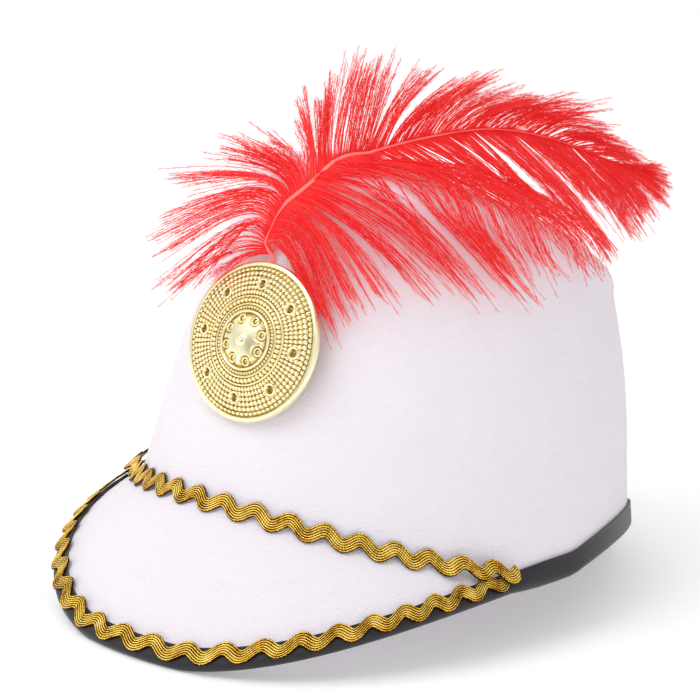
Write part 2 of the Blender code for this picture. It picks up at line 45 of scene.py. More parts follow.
# The hat's form: the same sizes as its solids, in metres
crown = {
    "frontHeight": 0.1469, "rearHeight": 0.0849,
    "baseFront": 0.0981, "baseRear": 0.0976, "baseHalfWidth": 0.0862,
    "topFront": 0.0492, "topRear": 0.0904, "topHalfWidth": 0.0625,
    "domeRise": 0.0170, "sideArch": 0.0212, "archBias": 0.61,
    "planRoundness": 1.844, "domeRoundness": 2.196, "frontSwell": 0.048,
    "felt": 0.0020,
}
crownForm = {
    "height": (0.0, 0.2, 0.4, 0.6, 0.8, 1.0),
    "front": (0.0, 0.189, 0.367, 0.566, 0.806, 1.0),
    "rear": (0.0, 0.208, 0.437, 0.656, 0.800, 1.0),
    "width": (0.0, 0.148, 0.263, 0.408, 0.668, 1.0),
}
peak = {
    "overhang": 0.0318, "creaseHeight": 0.0416, "endAngle": math.radians(87), "creaseDrop": 0.84,
    "roundness": 2.27, "edgeRise": 1.775, "bulge": 0.12, "fanEven": 0.75, "fanPower": 4.55,
}
trim = {"bindingWidth": 0.0090, "tape": 0.0008, "gap": 0.0003, "settle": 0.0012}
lineSteps = {"peak": 12, "wall": 24, "dome": 16}
probe = {"turn": 0.02, "step": 0.0015}


def curveThrough(stations, values, places):
    # smooth curve through a few values, read at many places
    stations = np.asarray(stations, float)
    values = np.asarray(values, float)
    places = np.asarray(places, float)
    slopes = np.gradient(values, stations)
    index = np.clip(np.searchsorted(stations, places) - 1, 0, len(stations) - 2)
    step = stations[index + 1] - stations[index]
    t = (places - stations[index]) / step
    start = (2 * t**3 - 3 * t**2 + 1) * values[index] + (t**3 - 2 * t**2 + t) * step * slopes[index]
    end = (3 * t**2 - 2 * t**3) * values[index + 1] + (t**3 - t**2) * step * slopes[index + 1]
    return start + end


def smoothStep(low, high, value):
    t = np.clip((value - low) / (high - low), 0.0, 1.0)
    return t * t * (3 - 2 * t)


def unit(vectors):
    return vectors / np.linalg.norm(vectors, axis=-1, keepdims=True)


def runOf(points):
    # length of a polyline, from its start to each of its points
    steps = np.linalg.norm(np.diff(points, axis=0), axis=1)
    return np.concatenate(((0.0,), np.cumsum(steps)))


def readAlong(places, stations, points):
    # points of a polyline, read at many places
    return np.stack([np.interp(places, stations, points[:, k]) for k in range(points.shape[1])], -1)


def crownPoints(angle, heights, spread=1.0, rise=0.0):
    # angle from the front, shares of the height, and the rise over the flat top
    heights = np.asarray(heights, float)
    size = {}
    for name, base, top in (("front", "baseFront", "topFront"), ("rear", "baseRear", "topRear"),
                            ("width", "baseHalfWidth", "topHalfWidth")):
        share = curveThrough(crownForm["height"], crownForm[name], heights)
        size[name] = crown[base] + (crown[top] - crown[base]) * share
    power = 2 / crown["planRoundness"]
    across = math.copysign(abs(math.sin(angle)) ** power, math.sin(angle)) * spread
    along = math.copysign(abs(math.cos(angle)) ** power, math.cos(angle)) * spread
    back = (1 - along) / 2
    frontZ = crown["frontHeight"] * heights
    rearZ = crown["rearHeight"] * heights
    swell = 1 + crown["frontSwell"] * math.cos(angle) * (1 - heights)
    arch = crown["sideArch"] * math.sin(angle) ** 2
    arch = arch * (1 - crown["archBias"] * math.cos(angle)) * (1 - heights) ** 2
    slope = np.arctan2(frontZ - rearZ, size["rear"] + size["front"])
    x = size["width"] * across * swell
    y = -size["front"] + (size["rear"] + size["front"]) * back + rise * np.sin(slope)
    z = frontZ + (rearZ - frontZ) * back + arch + rise * np.cos(slope)
    return np.stack(np.broadcast_arrays(x, y, z), axis=-1)


def edgePoint(angle):
    # the lowest line of the bound edge
    if abs(angle) >= peak["endAngle"]:
        point = crownPoints(angle, [0.0])[0]
    else:
        side = crownPoints(peak["endAngle"], [0.0])[0]
        turn = abs(angle) / peak["endAngle"] * math.pi / 2
        reach = crown["baseFront"] + peak["overhang"] + side[1]
        point = np.array((
            math.copysign(side[0] * math.sin(turn) ** (2 / peak["roundness"]), angle),
            side[1] - reach * max(math.cos(turn), 0.0) ** (2 / peak["roundness"]),
            side[2] * math.sin(turn) ** peak["edgeRise"],
        ))
    level = crown["sideArch"] / (crown["sideArch"] - trim["settle"])
    point[2] = max(point[2] - trim["settle"], 0.0) * level
    return point


feltLines = {}


def feltLine(angle):
    # one line over the felt, from the bound edge over the crease to the middle of the top
    key = round(angle, 6)
    if key in feltLines:
        return feltLines[key]
    share = min(1.0, abs(angle) / peak["endAngle"])
    topAngle = angle
    if share < 1:
        topAngle = angle * (peak["fanEven"] + (1 - peak["fanEven"]) * share ** peak["fanPower"])
    low = 0.0
    if abs(topAngle) < peak["endAngle"]:
        fall = math.cos(topAngle / peak["endAngle"] * math.pi / 2)
        low = peak["creaseHeight"] / crown["frontHeight"] * fall ** peak["creaseDrop"]
    edge = edgePoint(angle)
    parts = [edge[None]]
    if low > 0:
        crease = crownPoints(topAngle, [low])[0]
        corner = np.array((edge[0], edge[1], crease[2]))
        pull = (edge + crease) / 2 * (1 - peak["bulge"]) + corner * peak["bulge"]
        t = np.linspace(0, 1, lineSteps["peak"] + 1)[1:, None]
        parts.append((1 - t) ** 2 * edge + 2 * t * (1 - t) * pull + t * t * crease)
    creaseCount = sum(len(part) for part in parts)
    parts.append(crownPoints(topAngle, np.linspace(low, 1, lineSteps["wall"] + 1)[1:]))
    turn = np.linspace(0, math.pi / 2, lineSteps["dome"] + 1)[1:]
    power = 2 / crown["domeRoundness"]
    spread = np.maximum(np.cos(turn), 0.0) ** power
    rise = crown["domeRise"] * np.sin(turn) ** power
    parts.append(crownPoints(topAngle, np.ones(lineSteps["dome"]), spread, rise))
    points = np.concatenate(parts)
    lengths = runOf(points)
    line = {"points": points, "lengths": lengths, "crease": lengths[creaseCount - 1],
            "corner": lengths[-1 - lineSteps["dome"]], "total": lengths[-1]}
    feltLines[key] = line
    return line


def lineAt(angle, distances):
    # points at distances from the edge's lowest line, measured over the felt
    line = feltLine(angle)
    distances = np.asarray(distances, float)
    found = readAlong(distances, line["lengths"], line["points"])
    start = (line["points"][1] - line["points"][0]) / line["lengths"][1]
    below = np.minimum(distances, 0.0)[..., None]
    return found + start * below


def feltNormals(angle, distances):
    distances = np.asarray(distances, float)
    across = lineAt(angle + probe["turn"], distances) - lineAt(angle - probe["turn"], distances)
    up = lineAt(angle, distances + probe["step"]) - lineAt(angle, distances - probe["step"])
    return unit(np.cross(across, up))


def finishPiece(name, bm, material, smoothAngle=40):
    # one visible piece: its place in its mesh, with its shading and material
    mesh = bpy.data.meshes.new(name)
    bm.to_mesh(mesh)
    bm.free()
    mesh.shade_smooth()
    mesh.set_sharp_from_angle(angle=math.radians(smoothAngle))
    mesh.materials.append(material)
    piece = bpy.data.objects.new(name, mesh)
    bpy.context.scene.collection.objects.link(piece)
    print("made", name, "with", len(mesh.polygons), "faces")
    return piece


def gridOver(points, uvSize):
    # a create_grid sheet whose vertices go to an array of points [column, row]
    columns, rows = points.shape[0] - 1, points.shape[1] - 1
    bm = bmesh.new()
    bmesh.ops.create_grid(bm, x_segments=columns, y_segments=rows, size=0.5)
    uvLayer = bm.loops.layers.uv.new("surface")
    for face in bm.faces:
        for loop in face.loops:
            flat = loop.vert.co
            loop[uvLayer].uv = ((flat.x + 0.5) * uvSize[0], (flat.y + 0.5) * uvSize[1])
    for vert in bm.verts:
        column = round((vert.co.x + 0.5) * columns)
        row = round((vert.co.y + 0.5) * rows)
        vert.co = points[column, row]
    return bm


def closeUp(bm, distance=1e-6):
    bmesh.ops.remove_doubles(bm, verts=bm.verts, dist=distance)
    openEdges = [edge for edge in bm.edges if edge.is_boundary]
    if openEdges:
        bmesh.ops.holes_fill(bm, edges=openEdges, sides=0)
    bmesh.ops.recalc_face_normals(bm, faces=bm.faces)


# Materials: shared helpers first
def newGroup(name, inputs, outputs):
    group = bpy.data.node_groups.new(name, "ShaderNodeTree")
    for label, kind, value in inputs:
        socket = group.interface.new_socket(name=label, in_out="INPUT", socket_type=kind)
        if value is not None:
            socket.default_value = value
    for label, kind in outputs:
        group.interface.new_socket(name=label, in_out="OUTPUT", socket_type=kind)
    return group, group.nodes.new("NodeGroupInput"), group.nodes.new("NodeGroupOutput")


def addNode(tree, kind, links=(), **values):
    # a node with its settings, and for each socket the output it reads or its value
    node = tree.nodes.new(kind)
    for key, value in values.items():
        setattr(node, key, value)
    for socket, source in links:
        if hasattr(source, "is_output"):
            tree.links.new(source, node.inputs[socket])
        else:
            node.inputs[socket].default_value = source
    return node


def mathNode(tree, operation, *values):
    return addNode(tree, "ShaderNodeMath", list(enumerate(values)), operation=operation).outputs[0]


def noiseNode(tree, vector, scale, detail=2.0):
    node = addNode(tree, "ShaderNodeTexNoise", [("Vector", vector), ("Scale", scale), ("Detail", detail)])
    return node.outputs["Fac"]


def objectPlace(tree):
    return addNode(tree, "ShaderNodeTexCoord").outputs["Object"]


def stripPlace(tree):
    return addNode(tree, "ShaderNodeUVMap", uv_map="surface").outputs[0]


def attributeNode(tree, name):
    return addNode(tree, "ShaderNodeAttribute", attribute_name=name).outputs["Fac"]


def newMaterial(name, roughness, metallic=0.0, **sockets):
    material = bpy.data.materials.new(name)
    material.use_nodes = True
    tree = material.node_tree
    shader = tree.nodes["Principled BSDF"]
    shader.inputs["Roughness"].default_value = roughness
    shader.inputs["Metallic"].default_value = metallic
    for label, value in sockets.items():
        shader.inputs[label.replace("_", " ")].default_value = value
    return material, tree, shader


def ramp(tree, source, stops):
    # a colour ramp over values from 0 to 2, so places are halved
    node = addNode(tree, "ShaderNodeValToRGB", [("Fac", mathNode(tree, "MULTIPLY", source, 0.5))])
    elements = node.color_ramp.elements
    for element, (place, colour) in zip(elements, (stops[0], stops[-1])):
        element.position = place / 2
        element.color = (*colour, 1)
    for place, colour in stops[1:-1]:
        elements.new(place / 2).color = (*colour, 1)
    return node.outputs["Color"]


def bump(tree, shader, height, strength, distance):
    node = addNode(tree, "ShaderNodeBump", [
        ("Strength", strength), ("Distance", distance), ("Height", height)])
    tree.links.new(node.outputs["Normal"], shader.inputs["Normal"])


fibreLook = {
    "scale": 1100.0, "stretch": 0.16, "turns": (0.3, 1.35, 2.4), "axis": (0.4, 0.5, 0.77),
    "detail": 3.0, "roughness": 0.6, "mottleScale": 55.0, "mottleDetail": 4.0,
}


def fibreGroup():
    # fine matted fibres: noise stretched three ways
    group, start, end = newGroup(
        "Matted fibres",
        [("Vector", "NodeSocketVector", None), ("Scale", "NodeSocketFloat", fibreLook["scale"]),
         ("Stretch", "NodeSocketFloat", fibreLook["stretch"])],
        [("Height", "NodeSocketFloat"), ("Mottle", "NodeSocketFloat")])
    vector = start.outputs["Vector"]
    stretch = addNode(group, "ShaderNodeCombineXYZ", [
        ("X", 1.0), ("Y", start.outputs["Stretch"]), ("Z", 1.0)])
    layers = []
    for turn in fibreLook["turns"]:
        turned = addNode(group, "ShaderNodeVectorRotate", [
            ("Vector", vector), ("Angle", turn), ("Axis", fibreLook["axis"])])
        scaled = addNode(group, "ShaderNodeVectorMath", [
            (0, turned.outputs[0]), (1, stretch.outputs[0])], operation="MULTIPLY")
        layer = addNode(group, "ShaderNodeTexNoise", [
            ("Vector", scaled.outputs[0]), ("Scale", start.outputs["Scale"]),
            ("Detail", fibreLook["detail"]), ("Roughness", fibreLook["roughness"])])
        layers.append(layer.outputs["Fac"])
    height = mathNode(group, "MAXIMUM", mathNode(group, "MAXIMUM", layers[0], layers[1]), layers[2])
    mottle = noiseNode(group, vector, fibreLook["mottleScale"], fibreLook["mottleDetail"])
    group.links.new(height, end.inputs["Height"])
    group.links.new(mottle, end.inputs["Mottle"])
    return group


fibres = fibreGroup()


def feltMaterial():
    material, tree, shader = newMaterial("White felt", roughness=0.95, Sheen_Weight=0.25, Sheen_Roughness=0.6)
    matted = addNode(tree, "ShaderNodeGroup", node_tree=fibres)
    tree.links.new(objectPlace(tree), matted.inputs["Vector"])
    mixed = mathNode(tree, "ADD", matted.outputs["Height"], matted.outputs["Mottle"])
    colour = ramp(tree, mixed, [
        (0.55, (0.84, 0.785, 0.845)), (1.0, (0.862, 0.807, 0.867)), (1.5, (0.88, 0.83, 0.885))])
    tree.links.new(colour, shader.inputs["Base Color"])
    bump(tree, shader, matted.outputs["Height"], strength=0.8, distance=0.0007)
    return material


def bindingMaterial():
    material, tree, shader = newMaterial(
        "Black tape", roughness=0.55, Sheen_Weight=0.3, Sheen_Roughness=0.4, Specular_IOR_Level=0.45)
    ribs = addNode(tree, "ShaderNodeTexWave", [
        ("Vector", stripPlace(tree)), ("Scale", 1.1), ("Distortion", 0.6), ("Detail", 2.0)],
        bands_direction="X")
    colour = ramp(tree, ribs.outputs["Fac"], [(0.0, (0.004, 0.004, 0.006)), (1.0, (0.016, 0.015, 0.019))])
    tree.links.new(colour, shader.inputs["Base Color"])
    bump(tree, shader, ribs.outputs["Fac"], strength=0.25, distance=0.0002)
    return material


braidMetal = {
    "lean": 0.9, "turns": 9.0, "waveShare": 0.16, "speckleScale": 2.6, "speckleShare": 1.5,
    "patchScale": 0.22, "patchShare": 1.6, "darken": 1.10,
}


def braidMaterial():
    # twisted metal strands: diagonal turns on each strand, with painted shade in the grooves between turns,
    # between strands and along the band's edges
    material, tree, shader = newMaterial("Gold metallic braid", roughness=0.30, metallic=0.95)
    surface = stripPlace(tree)
    parts = addNode(tree, "ShaderNodeSeparateXYZ", [("Vector", surface)])
    lean = mathNode(tree, "MULTIPLY_ADD", parts.outputs["Y"], braidMetal["lean"], parts.outputs["X"])
    wave = mathNode(tree, "SINE", mathNode(tree, "MULTIPLY", lean, braidMetal["turns"]))
    speckle = noiseNode(tree, surface, braidMetal["speckleScale"], detail=3.0)
    patches = noiseNode(tree, surface, braidMetal["patchScale"])
    # painted shade: the ridge attribute is low between strands and at the band's edges, and the ramp's dark
    # stops paint those places nearly black
    blend = mathNode(tree, "MULTIPLY_ADD", wave, braidMetal["waveShare"], attributeNode(tree, "ridge"))
    blend = mathNode(tree, "MULTIPLY_ADD", speckle, braidMetal["speckleShare"], blend)
    blend = mathNode(tree, "MULTIPLY_ADD", patches, braidMetal["patchShare"], blend)
    blend = mathNode(tree, "SUBTRACT", blend, braidMetal["darken"])
    colour = ramp(tree, blend, [
        (0.66, (0.012, 0.003, 0.001)), (0.90, (0.36, 0.11, 0.006)),
        (1.15, (1.0, 0.53, 0.03)), (1.50, (1.0, 0.86, 0.22))])
    tree.links.new(colour, shader.inputs["Base Color"])
    bump(tree, shader, wave, strength=0.4, distance=0.0002)
    return material


plateMetal = {"wearScale": 420.0, "wearShare": 0.25, "smoothest": 0.16, "roughest": 0.34}


def medallionMaterial():
    material, tree, shader = newMaterial("Pale gold plate", roughness=0.22, metallic=1.0)
    wear = noiseNode(tree, objectPlace(tree), plateMetal["wearScale"], detail=4.0)
    # painted shade and highlight: the relief attribute paints the hollows dark brown and the raised figures
    # pale, near white
    blend = mathNode(tree, "MULTIPLY_ADD", wear, plateMetal["wearShare"], attributeNode(tree, "relief"))
    colour = ramp(tree, blend, [
        (0.10, (0.26, 0.17, 0.03)), (0.32, (0.80, 0.64, 0.27)), (0.70, (1.0, 0.93, 0.62))])
    tree.links.new(colour, shader.inputs["Base Color"])
    rough = addNode(tree, "ShaderNodeMapRange", [
        ("Value", wear), ("To Min", plateMetal["smoothest"]), ("To Max", plateMetal["roughest"])])
    tree.links.new(rough.outputs[0], shader.inputs["Roughness"])
    return material


barbDyeAndGlow = {"scale": 90.0, "share": 0.35, "paintedGlow": 0.17}


def plumeMaterial(name, dark, middle, light, roughness):
    material, tree, shader = newMaterial(name, roughness, Specular_IOR_Level=0.12)
    dye = noiseNode(tree, objectPlace(tree), barbDyeAndGlow["scale"], detail=3.0)
    blend = mathNode(tree, "MULTIPLY_ADD", dye, barbDyeAndGlow["share"], attributeNode(tree, "tint"))
    colour = ramp(tree, blend, [(0.1, dark), (0.65, middle), (1.2, light)])
    tree.links.new(colour, shader.inputs["Base Color"])
    # barbs let light through; this is painted light, a little glow from emission, not lit by any lamp
    tree.links.new(colour, shader.inputs["Emission Color"])
    shader.inputs["Emission Strength"].default_value = barbDyeAndGlow["paintedGlow"]
    return material


# Felt: one moulded wall, with a small ring at the top's middle that is closed by a last face
feltLook = {
    "columns": 192, "peakRows": 18, "wallRows": 40, "domeRows": 18, "domeReach": 0.985, "domeCrowding": 1.2,
    "lowestSeam": 0.0144,
}


def feltCutEdge(angle):
    # distance from the edge's lowest line to the felt's cut edge, inside the folded tape
    upward = unit(lineAt(angle, [trim["bindingWidth"]]) - lineAt(angle, [0.0]))[0]
    normal = feltNormals(angle, [trim["bindingWidth"] / 2])[0]
    outer = crown["felt"] / 2 + trim["gap"] + trim["tape"]
    return (outer + crown["felt"] / 2 * normal[2]) / upward[2]


def buildFelt():
    domeShares = np.linspace(0, feltLook["domeReach"], feltLook["domeRows"]) ** feltLook["domeCrowding"]
    skins = []
    for depth in (0.0, crown["felt"]):
        columns = []
        for angle in np.linspace(-math.pi, math.pi, feltLook["columns"] + 1):
            angle = float(angle)
            line = feltLine(angle)
            seam = max(line["crease"], feltLook["lowestSeam"])
            rows = np.concatenate((
                np.linspace(feltCutEdge(angle), seam, feltLook["peakRows"] + 1)[:-1],
                np.linspace(seam, line["corner"], feltLook["wallRows"] + 1)[:-1],
                line["corner"] + (line["total"] - line["corner"]) * domeShares))
            columns.append(lineAt(angle, rows) - feltNormals(angle, rows) * depth)
        skins.append(np.array(columns))
    outside, inside = skins
    bm = gridOver(np.concatenate((inside[:, ::-1], outside), axis=1), (1, 1))
    closeUp(bm)
    return bm, outside


feltMesh, feltOutside = buildFelt()
feltPiece = finishPiece("feltCrownAndPeak", feltMesh, feltMaterial())
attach(feltPiece, "root")
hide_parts("felt_body")


# Binding: a tape folded over the whole edge
bindingLook = {
    "columns": 360, "grooveShare": 0.72, "grooveDepth": 0.00025, "grooveWidth": 0.035,
    "faceSteps": 8, "foldSteps": 8, "innerSteps": 4, "ribMap": (640, 30),
}


def bindingOutline(angle):
    # a U section: down the outer face, round the fold, and back up along the felt
    half = crown["felt"] / 2
    inner = half + trim["gap"]
    outer = inner + trim["tape"]
    spots = [feltCutEdge(angle), trim["bindingWidth"]]
    foot, top = lineAt(angle, spots)
    footNormal, topNormal = feltNormals(angle, spots)
    down = unit(foot - top)
    middle = foot - footNormal * half
    topMiddle = top - topNormal * half
    outline = []
    for share in np.linspace(1, 0, bindingLook["faceSteps"] + 1):
        # a shallow stitched line runs along the tape, near its upper edge
        nearness = (share - bindingLook["grooveShare"]) / bindingLook["grooveWidth"]
        groove = bindingLook["grooveDepth"] * math.exp(-nearness**2)
        direction = unit(footNormal + (topNormal - footNormal) * share)
        outline.append(middle + (topMiddle - middle) * share + direction * (outer - groove))
    for turn in np.linspace(0, math.pi, bindingLook["foldSteps"] + 1)[1:]:
        point = middle + (footNormal * math.cos(turn) + down * math.sin(turn)) * outer
        point[2] = max(point[2], 0.0)
        outline.append(point)
    outline.append(topMiddle - topNormal * outer)
    outline.append(topMiddle - topNormal * inner)
    for turn in np.linspace(math.pi, 0, bindingLook["innerSteps"] + 1):
        outline.append(middle + (footNormal * math.cos(turn) + down * math.sin(turn)) * inner)
    outline.append(topMiddle + topNormal * inner)
    outline.append(outline[0])
    return outline


def buildBinding():
    angles = np.linspace(-math.pi, math.pi, bindingLook["columns"] + 1)
    bm = gridOver(np.array([bindingOutline(float(angle)) for angle in angles]), bindingLook["ribMap"])
    closeUp(bm)
    return bm


bindingPiece = finishPiece("blackBinding", buildBinding(), bindingMaterial())
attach(bindingPiece, "root")
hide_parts("edge_binding")


# Ric-rac braid: a waved band of metal strands
braidLook = {
    "frontWave": 0.0128, "endWave": 0.0104, "waveFall": 1.3, "waveStart": 0.08, "edgeFollow": 0.62,
    "overallHeight": 0.0084, "bandHeight": 0.0050, "thickness": 0.0008, "routeSteps": 240, "stepsPerWave": 26,
    "strands": 6, "strandPoints": 8, "strandRelief": 0.55, "strandRound": 0.8, "edgeSag": 0.12, "sagPower": 4,
    "grooveShadePower": 1.1, "edgeShade": 0.9, "edgeShadePower": 9, "wobble": 0.05,
    "creaseEnd": math.radians(76.5), "edgeEnd": math.radians(75.0), "edgeHeight": 0.0066,
    "climbStart": 1.35, "climbEnd": 0.9, "joinDrop": 0.0015,
}


def climbShare(angle):
    meeting = trim["bindingWidth"] + braidLook["overallHeight"]
    low, high = meeting * braidLook["climbEnd"], meeting * braidLook["climbStart"]
    return 1 - smoothStep(low, high, feltLine(angle)["crease"])


def edgeBraidPlace(angle):
    # height over the edge's lowest line, and offset over the ground
    return braidLook["edgeHeight"], 2 * trim["gap"] + trim["tape"]


def creaseBraidPlace(angle):
    # it follows the crease, and climbs over the other braid where the two meet
    climb = climbShare(angle)
    lift = 3 * trim["gap"] + trim["tape"] + braidLook["thickness"]
    return feltLine(angle)["crease"] - braidLook["joinDrop"] * climb, 2 * trim["gap"] + lift * climb


def braidGround(angle, height):
    # centre, upward and outward direction; a braid is stiff across, so it bridges the hollow of the crease
    half = braidLook["overallHeight"] / 2
    low, middle, high = lineAt(angle, [height - half, height, height + half])
    up = unit(high - low)
    across = lineAt(angle + probe["turn"], [height])[0] - lineAt(angle - probe["turn"], [height])[0]
    outward = unit(np.cross(unit(across), up))
    centre = (low + high) / 2
    return np.concatenate((centre + outward * max(0.0, float(np.dot(middle - centre, outward))), up, outward))


def wavePhases(length):
    # places along a braid for each phase of its waves, which are shorter towards its ends
    fine = np.linspace(-1.0, 1.0, braidLook["routeSteps"] + 1)
    fall = np.abs(fine) ** braidLook["waveFall"]
    wave = braidLook["frontWave"] + (braidLook["endWave"] - braidLook["frontWave"]) * fall
    rate = (1 / wave[1:] + 1 / wave[:-1]) / 2
    turns = np.concatenate(((0.0,), np.cumsum(rate * np.diff(fine) * length / 2)))
    waves = round(turns[-1])
    phases = np.linspace(0.0, waves, waves * braidLook["stepsPerWave"] + 1)
    return phases, np.interp(phases / waves * turns[-1], turns, (fine + 1) / 2 * length), length / waves


def braidSection():
    # shares across the band, heights over its back, and how much each point is lit rather than given painted
    # shade in the grooves between strands and along the band's edges
    topCount = braidLook["strands"] * braidLook["strandPoints"]
    shares = np.linspace(-1, 1, topCount + 1)
    ridge = np.abs(np.sin((shares + 1) / 2 * braidLook["strands"] * math.pi))
    sag = braidLook["edgeSag"] * shares ** braidLook["sagPower"]
    profile = 1 - braidLook["strandRelief"] * (1 - ridge ** braidLook["strandRound"]) - sag
    # painted shade: the band's edges and the grooves between strands get low values, which the braid's colour
    # ramp turns nearly black
    edgeShade = braidLook["edgeShade"] * np.abs(shares) ** braidLook["edgeShadePower"]
    paintedLitShare = ridge ** braidLook["grooveShadePower"] * (1 - edgeShade)
    # three points make the flat back, and the first point comes again to close the ring
    across = np.concatenate((shares, (1, 0, -1)))
    lifts = np.concatenate((profile, (0, 0, 0))) * braidLook["thickness"]
    return across, lifts, np.concatenate((paintedLitShare, (0, 0, 0, 0))), (topCount + 4) / topCount


def buildBraid(endAngle, placeAt, seed):
    rng = np.random.default_rng(seed)
    ground = []
    for angle in np.linspace(-endAngle, endAngle, braidLook["routeSteps"] + 1):
        height, offset = placeAt(float(angle))
        ground.append(np.append(braidGround(float(angle), height), offset))
    ground = np.array(ground)
    run = runOf(ground[:, :3])
    phases, places, waveLength = wavePhases(run[-1])
    amplitude = (braidLook["overallHeight"] - braidLook["bandHeight"]) / 2
    across, lifts, paintedLitShare, mapStretch = braidSection()
    wobble = 1 + rng.normal(0, braidLook["wobble"], int(phases[-1]) + 2)
    reach = across * braidLook["bandHeight"] / 2
    rings = []
    for phase, place in zip(phases, places):
        turn = (phase + braidLook["waveStart"]) * 2 * math.pi
        swing = amplitude * float(np.interp(phase, np.arange(len(wobble)), wobble))
        slope = math.atan(swing * math.cos(turn) * 2 * math.pi / waveLength)
        along = place - braidLook["edgeFollow"] * reach * math.sin(slope)
        height = swing * math.sin(turn) + reach * (1 - braidLook["edgeFollow"] * (1 - math.cos(slope)))
        row = readAlong(along, run, ground)
        ring = row[:, :3] + row[:, 3:6] * height[:, None] + row[:, 6:9] * (row[:, 9] + lifts)[:, None]
        rings.append(np.concatenate((ring, ring[:1])))
    bm = gridOver(np.array(rings), (run[-1] * 1000, braidLook["bandHeight"] * 1000 * mapStretch))
    # the ridge attribute carries the painted shade of the grooves and band edges
    paintedShadeLayer = bm.verts.layers.float.new("ridge")
    bm.verts.ensure_lookup_table()
    for vert, value in zip(bm.verts, np.repeat(paintedLitShare, len(rings))):
        vert[paintedShadeLayer] = float(value)
    closeUp(bm)
    return bm


braidGold = braidMaterial()
creaseMesh = buildBraid(braidLook["creaseEnd"], creaseBraidPlace, 1)
creaseBraid = finishPiece("creaseRicRac", creaseMesh, braidGold, 60)
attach(creaseBraid, "root")
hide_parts("crease_braid")
edgeMesh = buildBraid(braidLook["edgeEnd"], edgeBraidPlace, 2)
edgeBraid = finishPiece("edgeRicRac", edgeMesh, braidGold, 60)
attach(edgeBraid, "root")
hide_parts("edge_braid")


# Medallion: a stamped plate with raised figures
medal = {
    "radius": 0.0267, "backRadius": 0.0252, "rimDepth": 0.0020, "domeRise": 0.0055, "domeFall": 1.5,
    "relief": 0.0009, "wall": 0.0009, "centreHeight": 0.0935, "left": -0.0013, "quill": 0.0009,
    "sectors": 512, "rings": 140, "faceReach": 0.992, "backShade": 0.6, "brightest": 1.2,
}
# the figures' places and sizes are shares of the medallion's radius, their heights shares of its relief
rosette = {
    "petals": 8, "ring": 0.272, "petalEnd": (0.285, 0.325), "hollow": (0.062, 0.085), "petalHeight": 1.5,
    "petalFall": 0.35, "petalReach": 0.32, "knob": 0.075, "knobHeight": 0.5, "pit": 0.026, "pitLeft": 0.012,
    "pitDepth": 0.6, "ringlet": 0.046, "ringletWidth": 0.014, "ringletHeight": 0.75, "seed": 0.022,
    "seedHeight": 0.3,
}
studLook = {
    "count": 8, "ring": 0.715, "clear": (0.075, 0.095), "rim": 0.064, "rimWidth": 0.017, "rimHeight": 1.1,
    "bowl": (0.03, 0.052), "bowlDepth": 0.5, "tip": 0.03, "tipHeight": 0.4,
}
field = {"beads": 80, "rows": 5, "start": 0.602, "step": 0.060, "width": 0.0285, "height": 0.95, "round": 0.7}
border = {"start": 0.925, "end": 0.95, "height": 0.5}
ridges = (
    {"place": 0.362, "width": 0.020, "height": 0.90}, {"place": 0.452, "width": 0.016, "height": 0.55},
    {"place": 0.552, "width": 0.014, "height": 0.75}, {"place": 0.968, "width": 0.032, "height": 0.50},
)
beadRows = (
    {"place": 0.412, "width": 0.020, "beads": 60, "phase": 0.0, "height": 0.60},
    {"place": 0.502, "width": 0.030, "beads": 52, "phase": 0.0, "height": 1.15},
    {"place": 0.900, "width": 0.021, "beads": 84, "phase": 0.5, "height": 0.90},
)
beadLength = 0.92


def frontLine(height):
    line = feltLine(0.0)
    end = int(np.searchsorted(line["lengths"], line["corner"])) + 1
    return float(np.interp(height, line["points"][:end, 2], line["lengths"][:end]))


def medallionFrame():
    centre = frontLine(medal["centreHeight"])
    ends = (centre - medal["backRadius"], centre + medal["backRadius"])
    lifts = (trim["gap"], 2 * trim["gap"] + 2 * medal["quill"])
    low, high = (lineAt(0.0, [end])[0] + feltNormals(0.0, [end])[0] * lift for end, lift in zip(ends, lifts))
    up = unit(high - low)
    across = np.array((1.0, 0.0, 0.0))
    outward = np.cross(across, up)
    return (low + high) / 2 + across * medal["left"], outward, up, across


def dome(distance, radius):
    # a round bead's height over the plate, 0 to 1
    return np.sqrt(np.clip(1 - (distance / radius) ** 2, 0, 1))


def beadRow(radii, angles, centre, width, count, phase=0.0):
    local = (angles * count / (2 * math.pi) + phase) % 1.0 - 0.5
    arc = local * 2 * math.pi * centre / count
    limit = math.pi * centre / count * beadLength
    return np.sqrt(np.clip(1 - ((radii - centre) / width) ** 2 - (arc / limit) ** 2, 0, 1))


def sectorPlace(radii, angles, count, ringRadius, phase):
    # distance from the middle of the nearest of a ring of round figures
    local = ((angles * count / (2 * math.pi) + phase) % 1.0 - 0.5) * 2 * math.pi / count
    return np.hypot(radii * np.cos(local) - ringRadius, radii * np.sin(local))


def rosetteHeight(radii, angles):
    # petals round a knob, with a small ringed hollow in the end of each
    hollow = sectorPlace(radii, angles, rosette["petals"], rosette["ring"], 0.0)
    petals = (1 - smoothStep(*rosette["petalEnd"], radii)) * smoothStep(*rosette["hollow"], hollow)
    pit = np.hypot(radii * np.cos(angles) - rosette["pitLeft"], radii * np.sin(angles))
    fall = 1 - rosette["petalFall"] * (radii / rosette["petalReach"]) ** 2
    height = rosette["petalHeight"] * petals * fall
    height = height + rosette["knobHeight"] * dome(radii, rosette["knob"])
    height = height - rosette["pitDepth"] * dome(pit, rosette["pit"])
    height = height + rosette["ringletHeight"] * dome(hollow - rosette["ringlet"], rosette["ringletWidth"])
    return height + rosette["seedHeight"] * dome(hollow, rosette["seed"])


def studHeight(stud):
    # a raised rim round a bowl with a small tip
    height = studLook["rimHeight"] * dome(stud - studLook["rim"], studLook["rimWidth"])
    height = height - studLook["bowlDepth"] * (1 - smoothStep(*studLook["bowl"], stud))
    return height + studLook["tipHeight"] * dome(stud, studLook["tip"])


